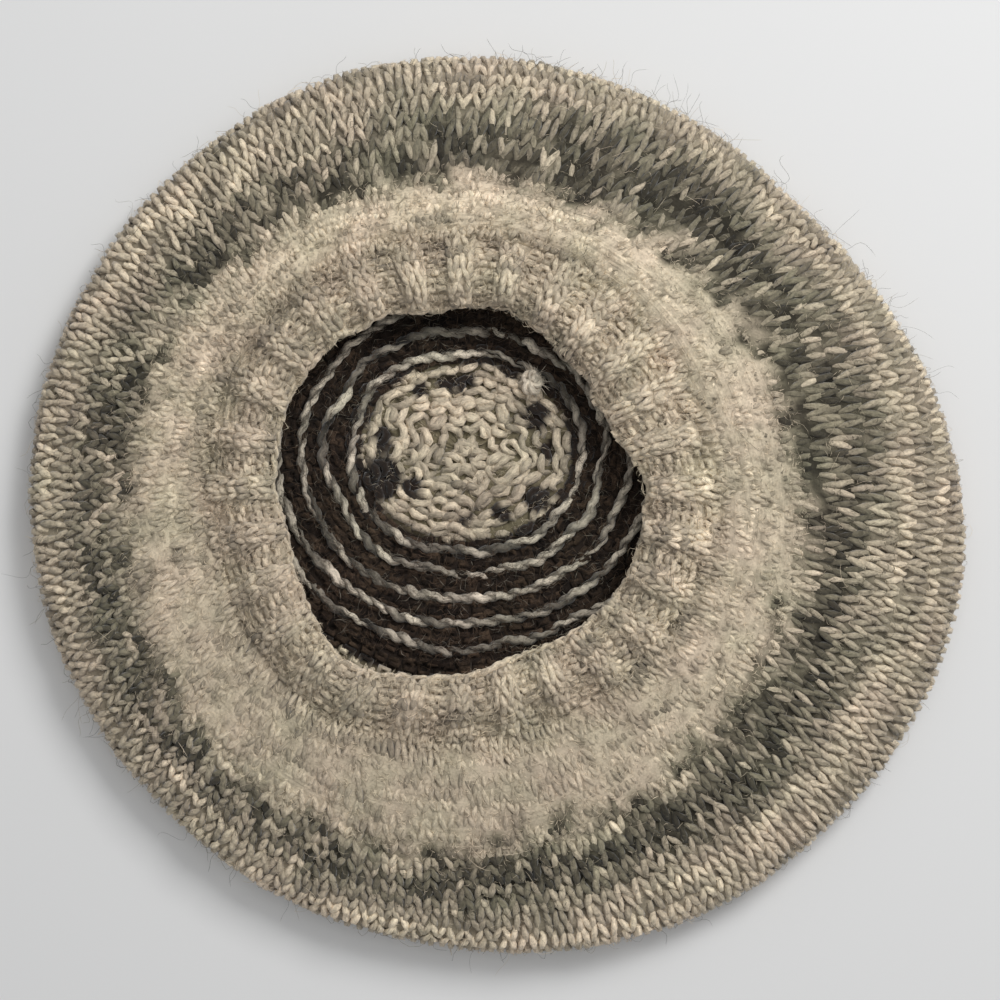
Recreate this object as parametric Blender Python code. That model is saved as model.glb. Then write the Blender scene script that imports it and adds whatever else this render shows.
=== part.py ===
"""A hand-knitted wool tam lying on its crown, with its ribbed band and mouth upwards.

It is one bag of knitting, about 4 mm thick and hollow: the ribbed band round the mouth, the
underside that widens from the band to the folded rim, and the crown that closes the bag and lies
flat on the surface. Units are metres, +Z is up, and the origin is the centre of the hat's bounding
box on the surface that it lies on.

The cloth is one surface worked out from two coordinates: turn, the angle round the hat, and
station, which counts the sections from the mouth's edge, over the rim, to the crown's centre.
"""

from collections import namedtuple

import bmesh
import bpy
import numpy as np

# The whole hat
HAT_WIDTH = 0.286
HAT_DEPTH = 0.274
HAT_HEIGHT = 0.024
WALL = 0.004
PIECE_GAP = 0.0003

# The mouth and the ribbed band round it
MOUTH_WIDTH = 0.112
MOUTH_CENTRE = (-0.0112, 0.0052)
BAND_WIDTH = 0.020
RIB_COUNT = 28
RIB_DEPTH = 0.0016
GATHER_DEPTH = 0.0009

# The fold of the rim, measured to the middle of the cloth
FOLD_RADIUS = 0.0062

# The point of the crown that its rounds of knitting close on
CROWN_CENTRE = (-0.0097, 0.0162)
CROWN_EYE_WIDTH = 0.008

# How finely the cloth is divided
RIB_STEPS = 6
GATHER_STEPS = 4
CROWN_STEPS = 3

# The rim's outline seen from above, as shares of half the hat's width
Outline = namedtuple("Outline", "degrees share")
RIM_OUTLINE = (
    Outline(0, 0.995),
    Outline(22, 0.947),
    Outline(44, 0.908),
    Outline(66, 0.924),
    Outline(90, 0.952),
    Outline(115, 0.980),
    Outline(140, 0.989),
    Outline(165, 1.000),
    Outline(190, 0.995),
    Outline(215, 0.968),
    Outline(236, 0.958),
    Outline(260, 0.948),
    Outline(285, 0.970),
    Outline(310, 0.984),
    Outline(332, 1.003),
    Outline(348, 1.010),
)

# The mouth's edge seen from above, as shares of half its width
MOUTH_OUTLINE = (
    Outline(0, 0.985),
    Outline(20, 0.880),
    Outline(44, 0.895),
    Outline(62, 0.935),
    Outline(80, 0.980),
    Outline(99, 0.955),
    Outline(112, 1.010),
    Outline(140, 1.025),
    Outline(168, 1.015),
    Outline(200, 0.970),
    Outline(219, 1.040),
    Outline(238, 1.110),
    Outline(254, 1.060),
    Outline(272, 1.000),
    Outline(296, 0.955),
    Outline(318, 1.020),
    Outline(340, 1.005),
)

# Sections of the cloth in order. From and to name the two outlines that a section lies between,
# share how far it lies from the first to the second, and level its height, from 0 for cloth lying
# on the surface to 1 for the band's crest. Gather says how much of the ribs and gathers it shows.
Section = namedtuple("Section", "name start end share level gather")
SECTIONS = (
    Section("mouth_edge", "mouth", "foot", 0.00, 0.74, 0.9),
    Section("band_crest", "mouth", "foot", 0.42, 1.00, 1.0),
    Section("band_foot", "mouth", "foot", 1.00, 0.80, 0.8),
    Section("body_crest", "foot", "fold", 0.28, 0.93, 0.2),
    Section("body_slope", "foot", "fold", 0.64, 0.84, 0.0),
    Section("shoulder", "fold", "rim", 0.00, 0.65, 0.0),
    Section("upper_fold", "fold", "rim", 0.71, 0.55, 0.0),
    Section("rim", "fold", "rim", 1.00, 0.32, 0.0),
    Section("lower_fold", "fold", "rim", 0.71, 0.09, 0.0),
    Section("rest_edge", "fold", "rim", 0.00, 0.00, 0.0),
    Section("crown_middle", "fold", "centre", 0.50, 0.00, 0.0),
    Section("crown_centre", "fold", "centre", 1.00, 0.00, 0.0),
)
BAND_END = 2
RIM_FOLD = 7
CROWN_END = len(SECTIONS) - 1

# Shallow dents and puffs in the underside. Depth is a share of the hat's height and is downwards,
# and a puff has a depth below 0.
Dent = namedtuple("Dent", "degrees station degrees_wide stations_wide depth")
DENTS = (
    Dent(178, 2.3, 34, 0.7, 0.07),
    Dent(325, 2.6, 26, 0.6, 0.05),
    Dent(262, 2.2, 30, 0.5, 0.04),
    Dent(48, 4.7, 22, 0.8, 0.05),
    Dent(10, 3.4, 24, 0.9, -0.04),
    Dent(215, 4.2, 26, 0.9, -0.03),
    Dent(100, 3.2, 30, 0.8, -0.03),
)

WOOL_CREAM = (0.52, 0.46, 0.34)
WOOL_GREY = (0.30, 0.27, 0.22)
WOOL_BROWN = (0.10, 0.08, 0.07)
WOOL_ROUGHNESS = 0.95

SMALL_STEP = 1e-4
NEAR_JOINT = 0.06


def outline_share(outline, turn):
    """The outline's share at each turn: a smooth closed curve through the table's rows."""
    degrees = np.array([row.degrees for row in outline], float)
    share = np.array([row.share for row in outline])
    at = np.degrees(turn) % 360.0
    last = np.searchsorted(degrees, at, side="right") - 1
    count = len(outline)
    before, here, there, beyond = (share[(last + k) % count] for k in (-1, 0, 1, 2))
    width = (degrees[(last + 1) % count] - degrees[last]) % 360.0
    t = ((at - degrees[last]) % 360.0) / width
    bend = (there - before) * t + (2 * before - 5 * here + 4 * there - beyond) * t**2
    return here + 0.5 * (bend + (3 * here - before - 3 * there + beyond) * t**3)


def around(centre, radius, turn):
    """Points at a radius round a centre, one for each turn."""
    return np.stack([centre[0] + radius * np.cos(turn), centre[1] + radius * np.sin(turn)], -1)


def rim_curve(turn):
    """The middle of the cloth at the rim: the outline fitted to the hat's width and depth, less
    half a wall."""
    whole_turn = np.radians(np.arange(360.0))
    whole = around((0.0, 0.0), outline_share(RIM_OUTLINE, whole_turn), whole_turn)
    low = whole.min(0)
    high = whole.max(0)
    size = np.array([HAT_WIDTH, HAT_DEPTH]) - WALL
    unit = around((0.0, 0.0), outline_share(RIM_OUTLINE, turn), turn)
    return (unit - (low + high) / 2) * size / (high - low)


def fold_curve(turn):
    """Where the cloth turns over into the rim's fold, and out of it again below."""
    rim = rim_curve(turn)
    return rim - FOLD_RADIUS * rim / np.linalg.norm(rim, axis=1, keepdims=True)


def mouth_curve(turn):
    """The middle of the cloth at the mouth's edge."""
    return around(MOUTH_CENTRE, MOUTH_WIDTH / 2 * outline_share(MOUTH_OUTLINE, turn), turn)


def foot_curve(turn):
    """Where the ribbed band meets the underside: the mouth's outline, wider and half as uneven."""
    uneven = 1 + (outline_share(MOUTH_OUTLINE, turn) - 1) / 2
    return around(MOUTH_CENTRE, MOUTH_WIDTH / 2 * uneven + BAND_WIDTH, turn)


def centre_point(turn):
    """The crown's centre, repeated for each turn."""
    return around(CROWN_CENTRE, 0.0, turn)


CURVES = {
    "mouth": mouth_curve,
    "foot": foot_curve,
    "fold": fold_curve,
    "rim": rim_curve,
    "centre": centre_point,
}


def smooth_through(values, station):
    """Values at a station between the sections, on a smooth curve that never overshoots them.

    Each section's slope is the harmonic mean of the steps to its neighbours, and 0 where the
    values turn back.
    """
    steps = np.diff(values, axis=0)
    product = steps[1:] * steps[:-1]
    total = steps[1:] + steps[:-1]
    turning = product <= 0
    mean = np.where(turning, 0.0, 2 * product / np.where(turning, 1.0, total))
    slopes = np.concatenate([steps[:1], mean, steps[-1:]])
    first = int(np.clip(np.floor(station), 0, len(values) - 2))
    t = station - first
    start = values[first] + slopes[first] * t
    rise = (3 * steps[first] - 2 * slopes[first] - slopes[first + 1]) * t**2
    return start + rise + (slopes[first] + slopes[first + 1] - 2 * steps[first]) * t**3


def section_points(turn):
    """The cloth's middle at every section: an array of sections by turns by X, Y and Z."""
    crest = HAT_HEIGHT - WALL / 2 - RIB_DEPTH / 2
    points = []
    for section in SECTIONS:
        start = CURVES[section.start](turn)
        end = CURVES[section.end](turn)
        plan = start + (end - start) * section.share
        height = WALL / 2 + section.level * (crest - WALL / 2)
        points.append(np.column_stack([plan, np.full(len(turn), height)]))
    return np.array(points)


def relief(turn, station):
    """How far the cloth's middle stands above its plain form: ribs, gathers and dents."""
    gather = smooth_through(np.array([[row.gather] for row in SECTIONS]), station)[0]
    in_band = np.clip(BAND_END + 0.5 - station, 0.0, 1.0)
    depth = GATHER_DEPTH + (RIB_DEPTH - GATHER_DEPTH) * in_band
    height = gather * depth / 2 * np.cos(RIB_COUNT * turn)
    for dent in DENTS:
        across = (np.degrees(turn) - dent.degrees + 180.0) % 360.0 - 180.0
        along = (station - dent.station) / dent.stations_wide
        hollow = np.exp(-((across / dent.degrees_wide) ** 2) - along**2)
        height = height - dent.depth * HAT_HEIGHT * hollow
    return height * np.clip(RIM_FOLD - station, 0.0, 1.0)


def cloth_middle(turn, station):
    """The middle of the cloth: the smooth form with its relief added upwards."""
    points = smooth_through(section_points(turn), station)
    points[:, 2] += relief(turn, station)
    return points


def cloth(turn, station, offset):
    """Points at an offset from the cloth's middle, outwards above 0, along its normal.

    Where two pieces meet, the normal is that of their joint, so they end in faces that lie
    alongside.
    """
    facing = station
    for joint in (BAND_END, RIM_FOLD):
        if abs(station - joint) < NEAR_JOINT:
            facing = joint
    along = cloth_middle(turn, min(facing + SMALL_STEP, CROWN_END))
    along = along - cloth_middle(turn, max(facing - SMALL_STEP, 0.0))
    across = cloth_middle(turn + SMALL_STEP, facing) - cloth_middle(turn - SMALL_STEP, facing)
    normal = np.cross(along, across)
    normal /= np.linalg.norm(normal, axis=1, keepdims=True)
    return cloth_middle(turn, station) + normal * offset


def station_after(station, length):
    """The station that lies a length further along the cloth, measured over all turns."""
    turn = np.radians(np.arange(0.0, 360.0, 15.0))
    step = cloth_middle(turn, station + SMALL_STEP) - cloth_middle(turn, station - SMALL_STEP)
    speed = np.linalg.norm(step, axis=1).mean() / (2 * SMALL_STEP)
    return station + length / speed


def eye_station():
    """The station of the small ring at the crown's centre that a flat face closes."""
    last = SECTIONS[-1].share - SECTIONS[-2].share
    rest_radius = (HAT_WIDTH + HAT_DEPTH) / 4 - FOLD_RADIUS
    return CROWN_END - CROWN_EYE_WIDTH / 2 / (last * rest_radius)


def wall_piece(name, stations, segments, closed, material):
    """One piece of the bag: the cloth between two stations with its wall's thickness.

    Its rings run back along the outside, round the edge and on along the inside. A closed piece
    ends in a flat face on each side at its last station, and any other piece in an edge as thick
    as the wall.
    """
    turn = np.arange(segments) * 2 * np.pi / segments
    outside = [cloth(turn, station, WALL / 2) for station in reversed(stations)]
    inside = [cloth(turn, station, -WALL / 2) for station in stations]
    mesh = bmesh.new()
    rings = [[mesh.verts.new(point) for point in points] for points in outside + inside]
    pairs = list(zip(rings, rings[1:]))
    if closed:
        mesh.faces.new(rings[0])
        mesh.faces.new(rings[-1])
    else:
        pairs.append((rings[-1], rings[0]))
    for first, second in pairs:
        for k in range(segments):
            mesh.faces.new((first[k - 1], first[k], second[k], second[k - 1]))
    bmesh.ops.recalc_face_normals(mesh, faces=mesh.faces)
    bmesh.ops.triangulate(mesh, faces=mesh.faces)
    data = bpy.data.meshes.new(name)
    mesh.to_mesh(data)
    mesh.free()
    data.materials.append(material)
    data.shade_smooth()
    data.set_sharp_from_angle(angle=np.radians(60.0))
    piece = bpy.data.objects.new(name, data)
    bpy.context.scene.collection.objects.link(piece)
    return piece


def wool(name, colour):
    """Matt wool of one colour."""
    material = bpy.data.materials.new(name)
    material.use_nodes = True
    shader = material.node_tree.nodes["Principled BSDF"]
    shader.inputs["Base Color"].default_value = (*colour, 1.0)
    shader.inputs["Roughness"].default_value = WOOL_ROUGHNESS
    shader.inputs["Metallic"].default_value = 0.0
    return material


def ribbed_band():
    """The ribbed band, from the mouth's edge to its foot."""
    end = station_after(BAND_END, -PIECE_GAP / 2)
    stations = (0.0, 0.35, 0.75, 1.1, 1.5, end)
    segments = RIB_COUNT * RIB_STEPS
    return wall_piece("ribbed_band", stations, segments, False, wool("wool_cream", WOOL_CREAM))


def underside():
    """The underside, from the band's foot over the shoulder to the fold of the rim."""
    start = station_after(BAND_END, PIECE_GAP / 2)
    end = station_after(RIM_FOLD, -PIECE_GAP / 2)
    stations = (start, 2.5, 3.0, 3.6, 4.3, 5.0, 5.6, 6.1, 6.6, end)
    segments = RIB_COUNT * GATHER_STEPS
    return wall_piece("underside", stations, segments, False, wool("wool_grey", WOOL_GREY))


def crown():
    """The crown, from the fold of the rim down to the surface and in to its centre."""
    start = station_after(RIM_FOLD, PIECE_GAP / 2)
    stations = (start, 7.4, 7.9, 8.4, 9.0, 9.35, 9.7, 10.3, eye_station())
    segments = RIB_COUNT * CROWN_STEPS
    return wall_piece("crown", stations, segments, True, wool("wool_brown", WOOL_BROWN))


def clear_scene():
    """Takes away whatever the scene holds."""
    for thing in list(bpy.data.objects):
        bpy.data.objects.remove(thing)


def main():
    """Builds the three pieces of the tam."""
    clear_scene()
    ribbed_band()
    underside()
    crown()


main()
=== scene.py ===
"""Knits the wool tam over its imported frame: yarn in loops, felted wool between them, and fuzz.

The file is laid out as a Blender add-on and is run as a script. Every piece is worked out on one
surface of the hat's cloth, from the mouth's edge, over the folded rim, to the crown's centre.
Rows of knitting are closed loops of yarn laid on that surface.
"""

from collections import namedtuple

import bpy
import numpy as np
from bpy.props import FloatProperty, FloatVectorProperty, IntProperty, PointerProperty
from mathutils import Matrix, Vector


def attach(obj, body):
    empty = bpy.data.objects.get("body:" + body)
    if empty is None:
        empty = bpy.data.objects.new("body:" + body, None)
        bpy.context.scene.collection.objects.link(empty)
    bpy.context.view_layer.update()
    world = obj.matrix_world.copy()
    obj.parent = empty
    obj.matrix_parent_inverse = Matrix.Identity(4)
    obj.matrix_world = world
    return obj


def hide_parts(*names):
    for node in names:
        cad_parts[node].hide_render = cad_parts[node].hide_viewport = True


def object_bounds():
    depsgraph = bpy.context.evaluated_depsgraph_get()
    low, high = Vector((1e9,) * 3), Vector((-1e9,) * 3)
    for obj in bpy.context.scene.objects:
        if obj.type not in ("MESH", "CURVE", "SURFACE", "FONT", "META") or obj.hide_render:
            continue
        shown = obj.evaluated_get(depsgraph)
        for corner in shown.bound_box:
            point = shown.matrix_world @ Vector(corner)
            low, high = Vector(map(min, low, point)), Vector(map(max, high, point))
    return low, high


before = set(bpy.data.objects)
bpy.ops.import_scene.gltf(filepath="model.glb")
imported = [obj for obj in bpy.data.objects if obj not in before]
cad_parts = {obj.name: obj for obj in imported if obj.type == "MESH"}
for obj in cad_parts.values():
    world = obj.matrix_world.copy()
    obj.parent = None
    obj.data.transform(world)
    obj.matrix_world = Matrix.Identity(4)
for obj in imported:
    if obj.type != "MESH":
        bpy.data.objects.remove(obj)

bl_info = {
    "name": "Knitted Tam",
    "version": (1, 0, 0),
    "blender": (4, 5, 0),
    "location": "3D View > Sidebar > Tam",
    "description": "Knits a wool tam with a ribbed band, a grey ring and a ringed crown",
    "category": "Object",
}

CAD_BOX = [list(corner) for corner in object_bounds()]
FRAME_SIZE = [high - low for low, high in zip(*CAD_BOX)]

# The shape of the cloth

# Outlines: pairs of the degrees round a centre and the radius there, as a share of its mean
RIM_OUTLINE = (
    (0, 0.995), (22, 0.947), (44, 0.908), (66, 0.924), (90, 0.952), (115, 0.980),
    (140, 0.989), (165, 1.000), (190, 0.995), (215, 0.968), (236, 0.958), (260, 0.948),
    (285, 0.970), (310, 0.984), (332, 1.003), (348, 1.010),
)
MOUTH_OUTLINE = (
    (0, 0.985), (20, 0.880), (44, 0.895), (62, 0.935), (80, 0.980), (99, 0.955),
    (112, 1.010), (140, 1.025), (168, 1.015), (200, 0.970), (219, 1.040), (238, 1.110),
    (254, 1.060), (272, 1.000), (296, 0.955), (318, 1.020), (340, 1.005),
)

# Sections of the cloth in order, as in the frame's own source: the two outlines that each lies
# between, its share of the way, its height and how much of the ribs and gathers it shows.
Section = namedtuple("Section", "name start end share level gather")
SECTIONS = (
    Section("mouth_edge", "mouth", "foot", 0.00, 0.74, 0.9),
    Section("band_crest", "mouth", "foot", 0.42, 1.00, 1.0),
    Section("band_foot", "mouth", "foot", 1.00, 0.80, 0.8),
    Section("body_crest", "foot", "fold", 0.28, 0.93, 0.2),
    Section("body_slope", "foot", "fold", 0.64, 0.84, 0.0),
    Section("shoulder", "fold", "rim", 0.00, 0.65, 0.0),
    Section("upper_fold", "fold", "rim", 0.71, 0.55, 0.0),
    Section("rim", "fold", "rim", 1.00, 0.32, 0.0),
    Section("lower_fold", "fold", "rim", 0.71, 0.09, 0.0),
    Section("rest_edge", "fold", "rim", 0.00, 0.00, 0.0),
    Section("crown_middle", "fold", "centre", 0.50, 0.00, 0.0),
    Section("crown_centre", "fold", "centre", 1.00, 0.00, 0.0),
)
BAND_END = 2.0
RIM_FOLD = 7.0
UNDERSIDE_END = 9.18
UNDER_LIMIT = 10.4

Dent = namedtuple("Dent", "degrees station degrees_wide stations_wide depth")
DENTS = [Dent(*row) for row in (
    (178, 2.3, 34, 0.7, 0.07), (325, 2.6, 26, 0.6, 0.05), (262, 2.2, 30, 0.5, 0.04),
    (48, 4.7, 22, 0.8, 0.05), (10, 3.4, 24, 0.9, -0.04), (215, 4.2, 26, 0.9, -0.03),
    (100, 3.2, 30, 0.8, -0.03),
)]

# The knitting: stitches in a rib, rows, and lengths in metres

RIB_STITCHES = 4
BAND_ROWS = 8
UNDERSIDE_ROWS = 25
ROW_PITCH = 0.0036
UNDER_REACH = 0.008
EDGE_INSET = 0.0016

# The grey ring's rows, and the two circles that it lies between, which sway towards a turn
GREY_START_ROW = 7.4
GREY_END_ROW = 13.2
GREY_CENTRE = (-0.0076, 0.0008)
Circle = namedtuple("Circle", "radius sway degrees")
GREY_INNER = Circle(0.1003, -0.0050, 50)
GREY_OUTER = Circle(0.1233, 0.0028, 0)

# Where the ring is darker or lighter: pairs of a turn and the rise there, in bells of one width
GREY_BELLS = ((1.05, 0.14), (2.55, -0.14), (3.50, 0.11), (4.85, 0.10))
GREY_BELL_WIDTH = 0.4
FIELD_TURNS = 864
FIELD_LINES_PER_ROW = 6

# The crown's rounds that show through the mouth, as shares of half the hat's width from the
# crown's centre: the first of them, where the dark ones start and end, and the last one.
FIRST_ROUND = 0.494
DARK_ROUNDS = (0.190, 0.490)
LAST_ROUND = 0.026
CROWN_ROUNDS = 18
CROWN_OUTER_ROUNDS = 15

# The pale yarn carried round on top of the dark rounds, in the same shares
PALE_ROPES = (0.421, 0.368, 0.317, 0.262, 0.214)

# Spots of the cream rounds knitted in dark yarn, in metres from the crown's centre
Spot = namedtuple("Spot", "x y width depth")
DARK_SPOTS = [Spot(*row) for row in (
    (-0.0030, 0.0215, 0.0115, 0.0050), (0.0135, 0.0255, 0.0070, 0.0056),
    (-0.0255, 0.0040, 0.0056, 0.0085), (0.0215, 0.0110, 0.0075, 0.0085),
    (0.0215, -0.0145, 0.0085, 0.0080), (0.0105, -0.0185, 0.0062, 0.0042),
    (-0.0140, 0.0190, 0.0052, 0.0048), (-0.0160, -0.0110, 0.0056, 0.0065),
    (-0.0262, -0.0080, 0.0125, 0.0135), (0.0255, 0.0010, 0.0042, 0.0060),
    (0.0000, -0.0205, 0.0042, 0.0032),
)]

# Tufts of long hair on the rim: where they stand, how wide they spread, how many hairs they have
# and how long these may be, in metres
Tuft = namedtuple("Tuft", "degrees degrees_wide hairs longest")
HAIR_TUFTS = [Tuft(*row) for row in (
    (77, 7, 26, 0.010), (64, 6, 22, 0.009), (50, 10, 8, 0.015), (25, 7, 20, 0.010),
    (13, 5, 14, 0.009), (353, 6, 14, 0.008), (328, 8, 18, 0.012), (290, 20, 12, 0.009),
    (240, 30, 16, 0.010), (210, 16, 14, 0.011), (180, 18, 16, 0.009), (140, 26, 14, 0.009),
    (108, 16, 18, 0.009), (92, 10, 14, 0.008),
)]

# How much the stitches vary: shares of a stitch or of the yarn's radius, and a lift in metres
LEAN_VARIES = 0.14
COLUMN_VARIES = 0.12
COLUMN_TREMBLES = 0.05
HEIGHT_VARIES = 0.12
LINE_VARIES = 0.14
LIFT_VARIES = 0.00013
SHORT_THICKNESS_VARIES = 0.08
LONG_THICKNESS_VARIES = 0.10

# Fineness of the meshes
LOOP_STEPS = 10
PLAIN_LOOP_STEPS = 6
YARN_SIDES = 5
PLAIN_SIDES = 4
ROPE_STEPS = 6
YARN_SQUASH = 0.85
GRID_TURNS = 720
GRID_STEPS_PER_ROW = 4
GRID_STATIONS = 181
TINY = 1e-12
SEED = 1729

# How far yarn, as a share of its radius, and fibres, in metres, keep above the floor
YARN_CLEARANCE = 1.02
FIBRE_CLEARANCE = 0.0003

# Shades of loose fibres: a wool's colour, how much lighter it is, and its share of the fibres
Shade = namedtuple("Shade", "colour tone share")
CREAM_SHADES = (Shade("cream", 1.2, 6), Shade("cream", 0.75, 2), Shade("grey", 1.0, 0.7))
RING_SHADES = (
    Shade("dark_grey", 0.6, 4), Shade("grey", 1.0, 3), Shade("cream", 0.9, 2.5),
)
CROWN_SHADES = (Shade("brown", 1.0, 3), Shade("warm_brown", 1.6, 4), Shade("pale", 0.5, 1))
ROPE_SHADES = (Shade("pale", 0.6, 3), Shade("pale", 0.3, 3), Shade("warm_brown", 1.5, 2))
LONG_SHADES = (Shade("dark_grey", 0.8, 2), Shade("cream", 1.1, 4), Shade("grey", 1.0, 2))
RIM_HAIR_SHADES = (Shade("dark_grey", 0.7, 6), Shade("grey", 1.0, 3), Shade("cream", 0.8, 1))

# Loose fibres: their node, how many there are, the rows between which they lie, then in metres
# their length, how low and how high over the cloth's middle they lie and their radius, and then
# their shades, their side of the cloth, their points, and whether they run along the pale ropes
Fuzz = namedtuple(
    "Fuzz", "name node count first last length low top radius shades side nodes along",
    defaults=(1, 3, False),
)
FUZZ = [Fuzz(*row) for row in (
    ("band_fuzz", "ribbed_band", 5000, -0.3, 8, 0.0040, 0.0008, 0.0023, 0.00009, CREAM_SHADES),
    ("inner_fuzz", "underside", 8600, 0, 8.0, 0.0034, 0.0009, 0.0019, 0.00009, CREAM_SHADES),
    ("ring_fuzz", "underside", 7000, 7.2, 13.6, 0.0034, 0.0007, 0.0021, 0.00007, RING_SHADES),
    ("rim_fuzz", "underside", 3300, 13.2, 20, 0.0034, 0.0006, 0.0020, 0.00006, CREAM_SHADES),
    ("crown_fuzz", "crown", 5600, 16.5, 27, 0.0054, 0.0012, 0.0036, 0.00007, CROWN_SHADES, -1),
    ("crown_rope_fuzz", "crown", 3600, 17, 27, 0.0042, 0.0016, 0.0030, 0.00008, ROPE_SHADES,
     -1, 3, True),
    ("crown_centre_fuzz", "crown", 800, 27, 33, 0.0035, 0.0010, 0.0022, 0.00005, CREAM_SHADES,
     -1),
    ("long_fuzz", "underside", 1000, 0, 20, 0.0080, 0.0010, 0.0032, 0.000045, LONG_SHADES,
     1, 5),
    ("band_long_fuzz", "ribbed_band", 350, 0, 8, 0.0080, 0.0012, 0.0034, 0.00005, LONG_SHADES,
     1, 5),
)]
STRAY_HAIRS = 60
STRAY_HAIR_LENGTH = 0.0065
HAIR_ROWS = (14.5, 18.5)

# The crown's yarn and the width of its stitches where they are hidden, dark and at the centre
CROWN_YARN_RADIUS = 0.00102
HIDDEN_STITCH = 0.0074
DARK_STITCH = 0.0046
CENTRE_STITCH = 0.0062
ROPE_STITCH = 0.0043

# The pale knot: its place from the crown's centre, its size and its shares of that size
KNOT_PLACE = (0.0205, 0.0215)
KNOT_HEIGHT = 0.0050
KNOT_SIZE = 0.0074
KNOT_SHAPE = (0.5, 0.6, 0.36)
KNOT_STEPS = 260
KNOT_FLUFF = 130

# The stage
Light = namedtuple("Light", "name place size power")
LIGHTS = (
    Light("window", (0.57, 0.70, 0.88), 0.5, 10.8),
    Light("sky", (0.1, 0.2, 1.6), 1.5, 5.5),
)
CAMERA_HEIGHT = 0.75
CAMERA_PLACE = (0.0008, 0.0015)
RIM_HEIGHT = 0.008
PHOTO_WIDTH = 0.3045
SENSOR_WIDTH = 36.0
FLOOR_REACH = 4.0
FLOOR_COLOUR = (0.72, 0.72, 0.715, 1.0)
ROOM_COLOUR = (0.97, 0.98, 1.0, 1.0)
ROOM_STRENGTH = 0.36


def length_property(name, description, default):
    """A size in metres."""
    return FloatProperty(name=name, description=description, default=default, unit="LENGTH")


def place_property(name, description, default):
    """A place on the floor, in metres."""
    return FloatVectorProperty(
        name=name, description=description, default=default, size=2, unit="LENGTH"
    )


def colour_property(name, description, default):
    """The colour of a wool."""
    return FloatVectorProperty(
        name=name, description=description, default=default, size=3, subtype="COLOR",
        min=0.0, max=1.0,
    )


class TamSizes(bpy.types.PropertyGroup):
    """Sizes of the hat, its cloth and its yarn."""

    hat_width: length_property("Hat width", "Widest way across", FRAME_SIZE[0])
    hat_depth: length_property("Hat depth", "The other way across", FRAME_SIZE[1])
    hat_height: length_property("Hat height", "Height lying down", 0.024)
    wall: length_property("Wall", "Thickness of the knitting", 0.004)
    mouth_width: length_property("Mouth width", "Across the band's edge", 0.112)
    mouth_centre: place_property("Mouth centre", "Centre of the mouth", (-0.0112, 0.0052))
    band_width: length_property("Band width", "From the edge to its foot", 0.020)
    rib_count: IntProperty(name="Ribs", description="Ribs round the band", default=28)
    rib_depth: length_property("Rib depth", "Height of a rib", 0.0016)
    gather_depth: length_property("Gather depth", "Height of a gather", 0.0009)
    fold_radius: length_property("Fold radius", "Radius of the rim's fold", 0.0062)
    crown_centre: place_property("Crown centre", "Where the rounds close", (-0.0097, 0.0162))
    round_stretch: length_property(
        "Round stretch", "How much wider than deep the rounds are", 0.0052
    )
    body_stitches: IntProperty(
        name="Body stitches", description="Stitches round the body", default=144
    )
    yarn_radius: length_property("Yarn radius", "Half the yarn's thickness", 0.00086)
    loop_depth: length_property("Loop depth", "How far a loop leans out and in", 0.00092)


class TamColours(bpy.types.PropertyGroup):
    """Colours of the wools."""

    cream: colour_property("Cream", "Band, body and the crown's centre", (0.60, 0.513, 0.395))
    grey: colour_property("Grey", "Middling wool of the grey ring", (0.203, 0.182, 0.131))
    dark_grey: colour_property(
        "Dark grey", "Dark wool of the grey ring", (0.050, 0.0438, 0.0315)
    )
    pale: colour_property("Pale", "Pale ropes and knot of the crown", (0.50, 0.445, 0.367))
    brown: colour_property("Brown", "Dark rounds of the crown", (0.019, 0.0125, 0.009))
    warm_brown: colour_property(
        "Warm brown", "Lighter strands in the dark rounds", (0.068, 0.045, 0.030)
    )


# The surface of the cloth


def even_turns(count=GRID_TURNS):
    """Angles spread evenly once round, those of a sheet's grid if no count is given."""
    return np.arange(count) * 2 * np.pi / count


def unit(vectors, least=0.0):
    """Vectors of length 1: each over its own length, to which a tiny least is added."""
    return vectors / (np.linalg.norm(vectors, axis=-1, keepdims=True) + least)


def outline_share(outline, turn):
    """The outline's share at each turn: a smooth closed curve through the table's rows."""
    degrees, share = np.array(outline, float).T
    at = np.degrees(turn) % 360.0
    last = np.searchsorted(degrees, at, side="right") - 1
    count = len(outline)
    before, here, there, beyond = (share[(last + k) % count] for k in (-1, 0, 1, 2))
    width = (degrees[(last + 1) % count] - degrees[last]) % 360.0
    t = ((at - degrees[last]) % 360.0) / width
    bend = (there - before) * t + (2 * before - 5 * here + 4 * there - beyond) * t**2
    return here + 0.5 * (bend + (3 * here - before - 3 * there + beyond) * t**3)


def around(centre, radius, turn):
    """Points at a radius round a centre: centre + radius * (cos turn, sin turn)."""
    return np.stack([centre[0] + radius * np.cos(turn), centre[1] + radius * np.sin(turn)], -1)


def smooth_through(values, station):
    """Values at stations between the sections, on cubic curves that never overshoot them.

    Each section's slope is the harmonic mean of the steps to its neighbours, and 0 where the
    values turn back.
    """
    steps = np.diff(values, axis=0)
    product = steps[1:] * steps[:-1]
    total = steps[1:] + steps[:-1]
    turning = product <= 0
    mean = np.where(turning, 0.0, 2 * product / np.where(turning, 1.0, total))
    slopes = np.concatenate([steps[:1], mean, steps[-1:]])
    first = np.clip(np.floor(station).astype(int), 0, len(values) - 2)
    t = station - first
    along = np.arange(values.shape[1])
    if values.ndim == 3:
        t = t[:, None]
    start = values[first, along]
    step = steps[first, along]
    slope = slopes[first, along]
    next_slope = slopes[first + 1, along]
    rise = (3 * step - 2 * slope - next_slope) * t**2
    return start + slope * t + rise + (slope + next_slope - 2 * step) * t**3


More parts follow.
